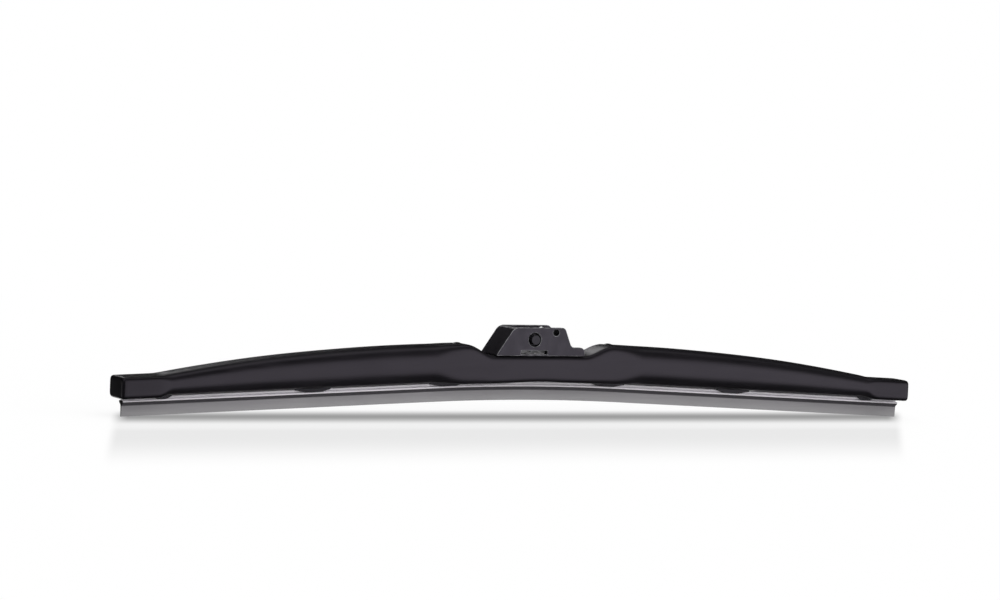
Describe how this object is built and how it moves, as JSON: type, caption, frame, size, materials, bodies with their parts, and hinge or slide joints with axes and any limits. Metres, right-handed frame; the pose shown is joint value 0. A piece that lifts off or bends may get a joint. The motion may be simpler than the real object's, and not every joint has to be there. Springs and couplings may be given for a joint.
{
  "type": "wiper blade",
  "caption": "Winter windscreen wiper blade: a steel bridge-and-yoke frame inside a closed rubber boot, with an open-topped arm connector and a clawed squeegee.",
  "frame": {"origin": "centre of the pivot pin, which the arm's hook closes round", "axes": "+X along the blade, +Y across it, +Z away from the glass"},
  "size_m": [0.508, 0.0252, 0.0529],
  "materials": {
    "boot_rubber": "matt, faintly glossy moulded rubber",
    "black_steel": "satin black coat on pressed steel",
    "connector_plastic": "fine-grained black plastic",
    "clip_plastic": "smooth black plastic",
    "pin_steel": "dark coated steel",
    "rivet_steel": "zinc-plated steel",
    "liner_plastic": "plain black plastic",
    "spring_steel": "bright stainless strip",
    "squeegee_rubber": "graphite-dusted rubber",
    "stud_plastic": "smooth domed plastic"
  },
  "bodies": {
    "adapter": {"hook_clip": "clip_plastic"},
    "frame": {"bridge": "black_steel", "connector": "connector_plastic", "pivot_pin": "pin_steel", "boot": "boot_rubber", "squeegee": "squeegee_rubber", "vertebra_front": "spring_steel", "vertebra_back": "spring_steel", "boot_stud_left": "stud_plastic", "boot_stud_right": "stud_plastic", "yoke_rivet_left": "rivet_steel", "yoke_rivet_right": "rivet_steel", "yoke_liner_left": "liner_plastic", "yoke_liner_right": "liner_plastic"},
    "yoke_left": {"yoke_left": "black_steel", "claw_rivet_left": "rivet_steel", "claw_liner_left": "liner_plastic"},
    "yoke_right": {"yoke_right": "black_steel", "claw_rivet_right": "rivet_steel", "claw_liner_right": "liner_plastic"},
    "claw_left": {"claw_yoke_left": "black_steel"},
    "claw_right": {"claw_yoke_right": "black_steel"}
  },
  "joints": [
    {"name": "adapter_pivot", "type": "hinge", "parent": "adapter", "child": "frame", "pos_m": [0, 0, 0], "axis": [0, 1, 0], "range_deg": [-20, 20]},
    {"name": "yoke_left_pivot", "type": "hinge", "parent": "frame", "child": "yoke_left", "pos_m": [-0.112, 0, -0.01635], "axis": [0, 1, 0], "range_deg": [0, 3], "stiffness_Nm_per_rad": 1.2, "springref_deg": -2.29, "deforming": ["boot", "squeegee", "vertebra_front", "vertebra_back"]},
    {"name": "yoke_right_pivot", "type": "hinge", "parent": "frame", "child": "yoke_right", "pos_m": [0.112, 0, -0.01635], "axis": [0, -1, 0], "range_deg": [0, 3], "stiffness_Nm_per_rad": 1.2, "springref_deg": -2.29, "deforming": ["boot", "squeegee", "vertebra_front", "vertebra_back"]},
    {"name": "claw_left_pivot", "type": "hinge", "parent": "yoke_left", "child": "claw_left", "pos_m": [-0.18234, 0, -0.02438], "axis": [0, 1, 0], "range_deg": [0, 3], "stiffness_Nm_per_rad": 0.6, "springref_deg": -2.29, "deforming": ["boot", "squeegee", "vertebra_front", "vertebra_back"]},
    {"name": "claw_right_pivot", "type": "hinge", "parent": "yoke_right", "child": "claw_right", "pos_m": [0.18234, 0, -0.02438], "axis": [0, -1, 0], "range_deg": [0, 3], "stiffness_Nm_per_rad": 0.6, "springref_deg": -2.29, "deforming": ["boot", "squeegee", "vertebra_front", "vertebra_back"]}
  ]
}
